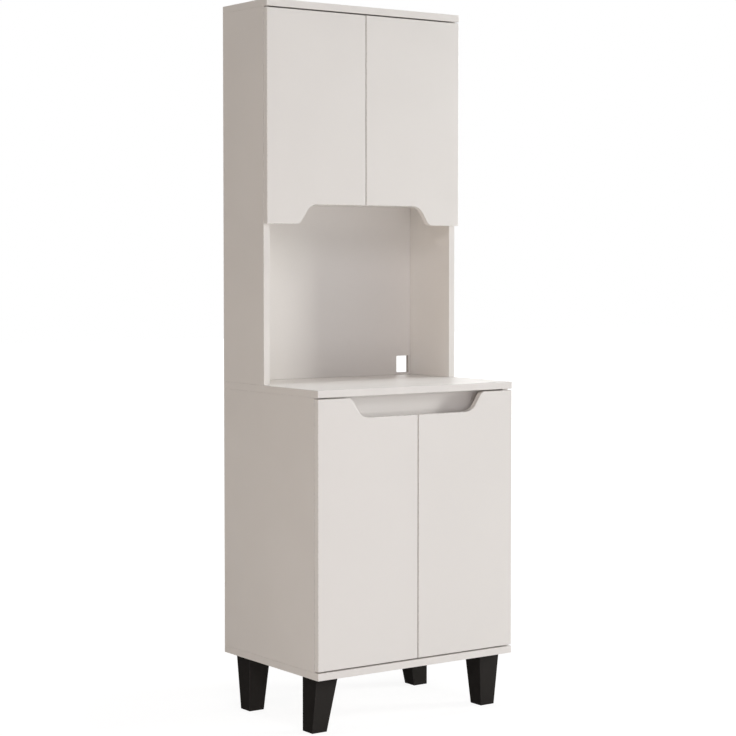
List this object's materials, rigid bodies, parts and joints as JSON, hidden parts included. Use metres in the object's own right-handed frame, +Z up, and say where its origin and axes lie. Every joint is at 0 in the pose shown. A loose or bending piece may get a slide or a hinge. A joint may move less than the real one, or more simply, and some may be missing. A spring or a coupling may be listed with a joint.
{
  "type": "microwave cabinet",
  "caption": "Tall cabinet on tapered legs: a deep base cupboard, an open bay for a microwave on its countertop, and a shallower cupboard above, with hinged doors.",
  "frame": {"origin": "on the floor, under the middle of the cabinet's footprint", "axes": "+Z up, -Y towards the person who opens the doors, +X to that person's right"},
  "size_m": [0.6, 0.435, 1.8],
  "materials": {
    "carcass_white": "white melamine-faced board with a fine satin grain",
    "door_white": "white satin lacquer film on board",
    "back_white": "thin fibreboard with a white face",
    "leg_black": "black moulded plastic, fine texture",
    "hinge_steel": "nickel-plated pressed steel",
    "zinc_steel": "bright zinc-plated steel"
  },
  "bodies": {
    "cabinet": {"base_bottom_panel": "carcass_white", "base_left_side": "carcass_white", "base_right_side": "carcass_white", "base_back_panel": "back_white", "base_front_rail": "carcass_white", "base_shelf": "carcass_white", "countertop": "carcass_white", "hutch_left_side": "carcass_white", "hutch_right_side": "carcass_white", "hutch_back_panel": "back_white", "cupboard_floor": "carcass_white", "cupboard_shelf": "carcass_white", "top_panel": "carcass_white", "front_left_leg": "leg_black", "front_right_leg": "leg_black", "back_left_leg": "leg_black", "back_right_leg": "leg_black", "front_left_leg_bolt": "zinc_steel", "front_right_leg_bolt": "zinc_steel", "back_left_leg_bolt": "zinc_steel", "back_right_leg_bolt": "zinc_steel", "base_shelf_pin_front_left": "zinc_steel", "base_shelf_pin_front_right": "zinc_steel", "base_shelf_pin_rear_left": "zinc_steel", "base_shelf_pin_rear_right": "zinc_steel", "cupboard_shelf_pin_front_left": "zinc_steel", "cupboard_shelf_pin_front_right": "zinc_steel", "cupboard_shelf_pin_rear_left": "zinc_steel", "cupboard_shelf_pin_rear_right": "zinc_steel", "lower_left_door_bottom_hinge_arm": "hinge_steel", "lower_left_door_top_hinge_arm": "hinge_steel", "lower_right_door_bottom_hinge_arm": "hinge_steel", "lower_right_door_top_hinge_arm": "hinge_steel", "upper_left_door_bottom_hinge_arm": "hinge_steel", "upper_left_door_top_hinge_arm": "hinge_steel", "upper_right_door_bottom_hinge_arm": "hinge_steel", "upper_right_door_top_hinge_arm": "hinge_steel"},
    "lower_left_links": {"lower_left_door_bottom_hinge_link": "hinge_steel", "lower_left_door_top_hinge_link": "hinge_steel"},
    "lower_left_door": {"lower_left_door": "door_white", "lower_left_door_bottom_hinge_cup": "hinge_steel", "lower_left_door_top_hinge_cup": "hinge_steel"},
    "lower_right_links": {"lower_right_door_bottom_hinge_link": "hinge_steel", "lower_right_door_top_hinge_link": "hinge_steel"},
    "lower_right_door": {"lower_right_door": "door_white", "lower_right_door_bottom_hinge_cup": "hinge_steel", "lower_right_door_top_hinge_cup": "hinge_steel"},
    "upper_left_links": {"upper_left_door_bottom_hinge_link": "hinge_steel", "upper_left_door_top_hinge_link": "hinge_steel"},
    "upper_left_door": {"upper_left_door": "door_white", "upper_left_door_bottom_hinge_cup": "hinge_steel", "upper_left_door_top_hinge_cup": "hinge_steel"},
    "upper_right_links": {"upper_right_door_bottom_hinge_link": "hinge_steel", "upper_right_door_top_hinge_link": "hinge_steel"},
    "upper_right_door": {"upper_right_door": "door_white", "upper_right_door_bottom_hinge_cup": "hinge_steel", "upper_right_door_top_hinge_cup": "hinge_steel"}
  },
  "joints": [
    {"name": "lower_left_links_turn", "type": "hinge", "parent": "cabinet", "child": "lower_left_links", "pos_m": [-0.2637, -0.1955, 0.49075], "axis": [0, 0, -1], "range_deg": [-34, 0]},
    {"name": "lower_left_door_opens", "type": "hinge", "parent": "lower_left_links", "child": "lower_left_door", "pos_m": [-0.2892, -0.2035, 0.49075], "axis": [0, 0, -1], "range_deg": [0, 136]},
    {"name": "lower_right_links_turn", "type": "hinge", "parent": "cabinet", "child": "lower_right_links", "pos_m": [0.2637, -0.1955, 0.49075], "axis": [0, 0, 1], "range_deg": [-34, 0]},
    {"name": "lower_right_door_opens", "type": "hinge", "parent": "lower_right_links", "child": "lower_right_door", "pos_m": [0.2892, -0.2035, 0.49075], "axis": [0, 0, 1], "range_deg": [0, 136]},
    {"name": "upper_left_links_turn", "type": "hinge", "parent": "cabinet", "child": "upper_left_links", "pos_m": [-0.2637, 0.0295, 1.51125], "axis": [0, 0, -1], "range_deg": [-34, 0]},
    {"name": "upper_left_door_opens", "type": "hinge", "parent": "upper_left_links", "child": "upper_left_door", "pos_m": [-0.2892, 0.0215, 1.51125], "axis": [0, 0, -1], "range_deg": [0, 136]},
    {"name": "upper_right_links_turn", "type": "hinge", "parent": "cabinet", "child": "upper_right_links", "pos_m": [0.2637, 0.0295, 1.51125], "axis": [0, 0, 1], "range_deg": [-34, 0]},
    {"name": "upper_right_door_opens", "type": "hinge", "parent": "upper_right_links", "child": "upper_right_door", "pos_m": [0.2892, 0.0215, 1.51125], "axis": [0, 0, 1], "range_deg": [0, 136]}
  ],
  "couplings": [
    {"joint": "lower_left_links_turn", "follows": "lower_left_door_opens", "ratio": -0.25},
    {"joint": "lower_right_links_turn", "follows": "lower_right_door_opens", "ratio": -0.25},
    {"joint": "upper_left_links_turn", "follows": "upper_left_door_opens", "ratio": -0.25},
    {"joint": "upper_right_links_turn", "follows": "upper_right_door_opens", "ratio": -0.25}
  ]
}
